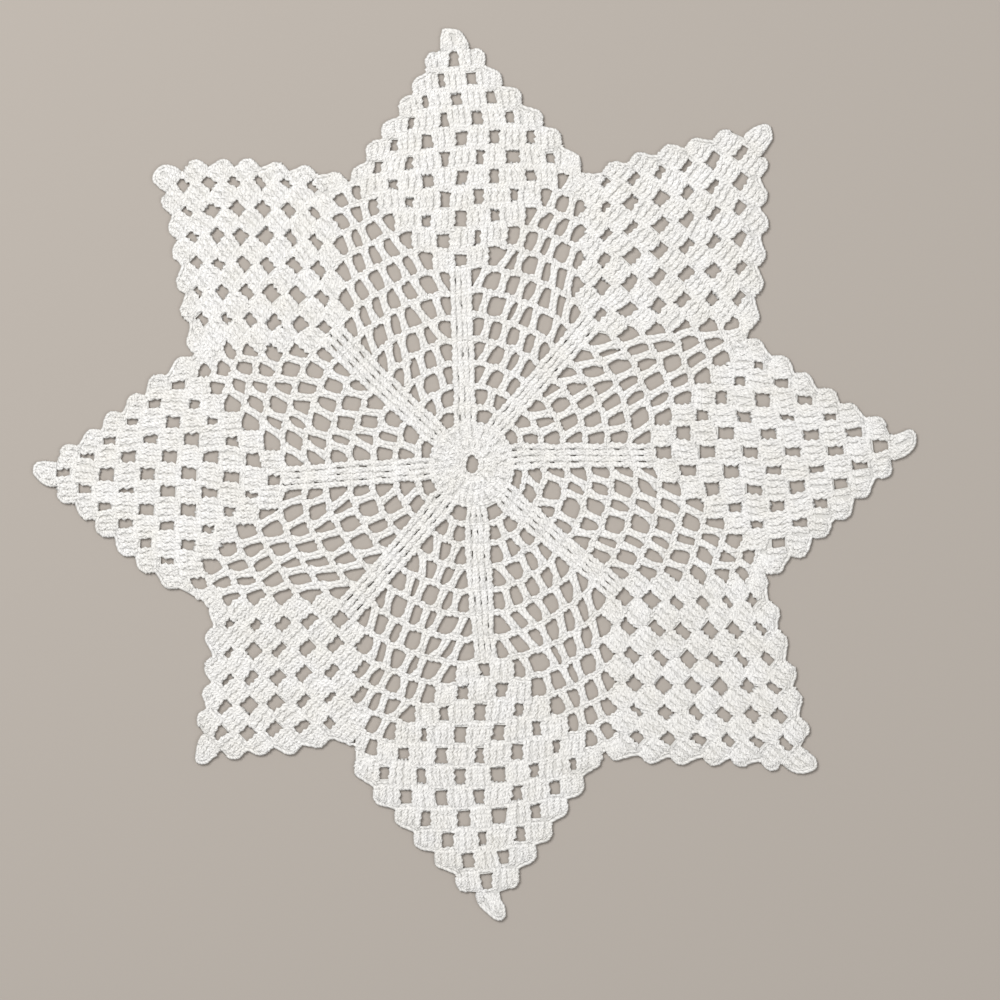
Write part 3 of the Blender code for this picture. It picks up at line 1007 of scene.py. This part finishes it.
def ground_mesh():
    """The thin closed sheet behind the stitches, with every mesh open."""
    rings = [lace_outline(GROUND_INSET), *ground_openings()]
    places, edges = [], []
    for ring in rings:
        first = len(places)
        places += ring
        edges += [(first + step, first + (step + 1) % len(ring)) for step in range(len(ring))]
    spots, _, triangles, *_ = delaunay_2d_cdt(places, edges, [], 0, 1e-4)
    spots, triangles = as_array(spots), as_array(triangles)
    centres = spots[triangles].mean(axis=1)
    solid = within(centres, as_array(rings[0]))
    for ring in rings[1:]:
        corners = as_array(ring)
        low, high = corners.min(axis=0), corners.max(axis=0)
        nearby = np.nonzero(((centres > low) & (centres < high)).all(axis=1))[0]
        solid[nearby[within(centres[nearby], corners)]] = False
    triangles = triangles[solid]
    used, triangles = np.unique(triangles, return_inverse=True)
    triangles = triangles.reshape(-1, 3)
    spots = spots[used]
    count = len(spots)
    sides = np.concatenate([triangles[:, [0, 1]], triangles[:, [1, 2]], triangles[:, [2, 0]]])
    _, first, times = np.unique(np.sort(sides, axis=1), axis=0, return_index=True, return_counts=True)
    rim = sides[first[times == 1]]
    walls = np.stack([rim[:, 1], rim[:, 0], rim[:, 0] + count, rim[:, 1] + count], axis=1)
    faces = triangles.tolist() + (triangles[:, ::-1] + count).tolist() + walls.tolist()
    levels = (MIDDLE_HEIGHT + GROUND_THICKNESS / 2, MIDDLE_HEIGHT - GROUND_THICKNESS / 2)
    points = np.concatenate([np.column_stack([spots, np.full(count, level)]) for level in levels])
    return lace_mesh("lace_ground", points, faces)


# ---- materials

WHITE = (1.0, 1.0, 1.0)
COTTON = (0.90, 0.887, 0.868)
# The ground's cotton is darker than the thread: painted shade for the gaps between stitches
GROUND_COTTON_PAINTED_SHADE = (0.70, 0.69, 0.67)
FLOOR = (0.42, 0.38, 0.34)
AGED = (0.95, 0.94, 0.91)  # the dullest cotton against the whitest
AGED_RANGE, AGED_SCALE = (0.3, 0.7), 90.0
PLIES = 3.0
PLY_PITCH = 1.35  # millimetres along the thread from one ply to the next
PLY_DEPTH = 0.17
# How dark the painted shade in the grooves between plies, the small random mottles and the
# painted shade deep in the gaps are, and between which values
GROOVE_SHADE, GROOVE_SHADE_RANGE = 0.78, (0.0, 0.45)
MOTTLED, MOTTLED_RANGE, MOTTLED_SCALE = 0.9, (0.36, 0.6), 520.0
SHADED, SHADED_RANGE = 0.5, (0.10, 0.48)  # millimetres from mid fabric
FUZZ, FUZZ_SCALE = 0.5, 3200.0
BUMP = 0.8


def set_inputs(node, inputs):
    """Gives a node's inputs their values, or links them to another node's output."""
    for key, value in inputs.items():
        if isinstance(value, bpy.types.NodeSocket):
            node.id_data.links.new(value, node.inputs[key])
        else:
            node.inputs[key].default_value = value


def matte(name, roughness, specular):
    """A new matte material and its shader."""
    material = bpy.data.materials.new(name)
    material.use_nodes = True
    shader = material.node_tree.nodes["Principled BSDF"]
    set_inputs(shader, {"Roughness": roughness, "Specular IOR Level": specular})
    return material, shader


def cotton(name, colour, plied, shaded=False):
    """Fuzzy cotton, a little uneven in tone. Plied thread shows its twist, shade painted in its grooves."""
    material, shader = matte(name, roughness=0.85, specular=0.25)
    set_inputs(shader, {"Sheen Weight": 0.15, "Sheen Roughness": 0.5})

    def new_node(kind, inputs, **settings):
        """A new node's outputs."""
        node = material.node_tree.nodes.new("ShaderNode" + kind)
        for key, value in settings.items():
            setattr(node, key, value)
        set_inputs(node, inputs)
        return node.outputs

    def noise(scale, detail):
        return new_node("TexNoise", {"Scale": scale, "Detail": detail, "Vector": place})["Fac"]

    def math_node(operation, first, second=0.0):
        return new_node("Math", {0: first, 1: second}, operation=operation)["Value"]

    def ramp(value, span, dark, light):
        node = material.node_tree.nodes.new("ShaderNodeValToRGB")
        for element, position, shade in zip(node.color_ramp.elements, span, (dark, light)):
            element.position = position
            element.color = (*shade, 1)
        set_inputs(node, {"Fac": value})
        return node.outputs["Color"]

    def darkened(tone, value, span, darkest):
        shade = ramp(value, span, (darkest,) * 3, WHITE)
        inputs = {"Factor": 1.0, "A": tone, "B": shade}
        return new_node("Mix", inputs, data_type="RGBA", blend_type="MULTIPLY")["Result"]

    place = new_node("TexCoord", {})["Object"]
    aged = [part * share for part, share in zip(colour, AGED)]
    tone = ramp(noise(AGED_SCALE, detail=3.0), AGED_RANGE, aged, colour)
    height = math_node("MULTIPLY", noise(FUZZ_SCALE, detail=4.0), FUZZ)
    if plied:
        spot = new_node("SeparateXYZ", {"Vector": new_node("UVMap", {}, uv_map="strand")["UV"]})
        turn = math_node("MULTIPLY", spot["X"], 1 / PLY_PITCH)
        plies = math_node("ADD", turn, math_node("MULTIPLY", spot["Y"], PLIES))
        wave = math_node("ABSOLUTE", math_node("SINE", math_node("MULTIPLY", plies, math.pi)))
        height = math_node("ADD", height, wave)
        # Painted shade: the grooves between plies are darker
        tone = darkened(tone, wave, GROOVE_SHADE_RANGE, GROOVE_SHADE)
    tone = darkened(tone, noise(MOTTLED_SCALE, detail=3.0), MOTTLED_RANGE, MOTTLED)
    # Painted shade: thread nearer mid fabric, deep in the gaps between stitches, is darker
    if shaded:
        level = new_node("SeparateXYZ", {"Vector": place})["Z"]
        above = math_node("SUBTRACT", level, MIDDLE_HEIGHT * MILLIMETRE)
        away = math_node("MULTIPLY", math_node("ABSOLUTE", above), 1 / MILLIMETRE)
        tone = darkened(tone, away, SHADED_RANGE, SHADED)
    relief = {"Strength": BUMP, "Distance": PLY_DEPTH * MILLIMETRE, "Height": height}
    set_inputs(shader, {"Normal": new_node("Bump", relief)["Normal"], "Base Color": tone})
    return material


# ---- making the pieces

edge_ring = as_array(lace_outline())
lace_middle = Vector((edge_ring.min(axis=0) + edge_ring.max(axis=0)) / 2)
# The thread of the centre and points has painted shade deep in the fabric; the net's has not
thread = cotton("cotton_thread", COTTON, True, True)
net_thread = cotton("cotton_net", COTTON, True)
# The ground is painted darker, as shade in the gaps between stitches where it shows
ground_painted_shade = cotton("cotton_ground_painted_shade", GROUND_COTTON_PAINTED_SHADE, False)


def placed(name, data):
    """A new object in the scene."""
    item = bpy.data.objects.new(name, data)
    bpy.context.scene.collection.objects.link(item)
    return item


def dressed(name, data, material):
    """A piece of the lace, riding with it."""
    data.materials.append(material)
    piece = placed(name, data)
    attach(piece, "root")
    return piece


SEED = 19
rng = np.random.default_rng(SEED)
ground = dressed("lace_ground", ground_mesh(), ground_painted_shade)
pieces = [dressed("stitches_centre", centre_stitches().yarn(rng).mesh("stitches_centre"), thread)]
for part, make, material in (("point", point_stitches, thread), ("fan", fan_stitches, net_thread)):
    for index in range(len(POINTS)):
        name = f"stitches_{part}_{index + 1}"
        pieces.append(dressed(name, trimmed(make(index)).yarn(rng).mesh(name), material))
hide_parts("doily")
for piece in pieces:
    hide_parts("doily")

# ---- floor, light and camera

FLOOR_SIZE = 4.0
LIGHTS = (
    # name, place, size, power
    ("key", (-0.7, 0.7, 1.4), 0.9, 25),
    ("fill", (0.9, -0.5, 1.5), 1.2, 8),
)
SKY = 0.34
CAMERA_HEIGHT = 2.0
FRAME_WIDTH = 0.360
SENSOR = 36.0
RING_IN_FRAME = Vector((-0.01008, 0.01278))  # from the frame's middle

edge = FLOOR_SIZE / 2
floor_data = bpy.data.meshes.new("floor")
floor_data.from_pydata(
    [(-edge, -edge, 0), (edge, -edge, 0), (edge, edge, 0), (-edge, edge, 0)], [], [(0, 1, 2, 3)]
)
floor_pale, floor_shader = matte("floor_pale", roughness=0.9, specular=0.1)
set_inputs(floor_shader, {"Base Color": (*FLOOR, 1)})
floor_data.materials.append(floor_pale)
placed("floor", floor_data)

for name, place, size, power in LIGHTS:
    light_data = bpy.data.lights.new(name, "AREA")
    light_data.size = size
    light_data.energy = power
    light = placed(name, light_data)
    light.location = place
    light.rotation_euler = (-Vector(place)).to_track_quat("-Z", "Y").to_euler()

world = bpy.data.worlds.new("studio")
world.use_nodes = True
set_inputs(world.node_tree.nodes["Background"], {"Color": (*WHITE, 1), "Strength": SKY})
bpy.context.scene.world = world
bpy.context.scene.view_settings.view_transform = "Standard"

camera_data = bpy.data.cameras.new("above")
camera_data.sensor_width = SENSOR
camera_data.lens = SENSOR * CAMERA_HEIGHT / FRAME_WIDTH
camera_data.clip_end = 10.0
camera = placed("above", camera_data)
camera.location = (*(-lace_middle * MILLIMETRE - RING_IN_FRAME), CAMERA_HEIGHT)
bpy.context.scene.camera = camera
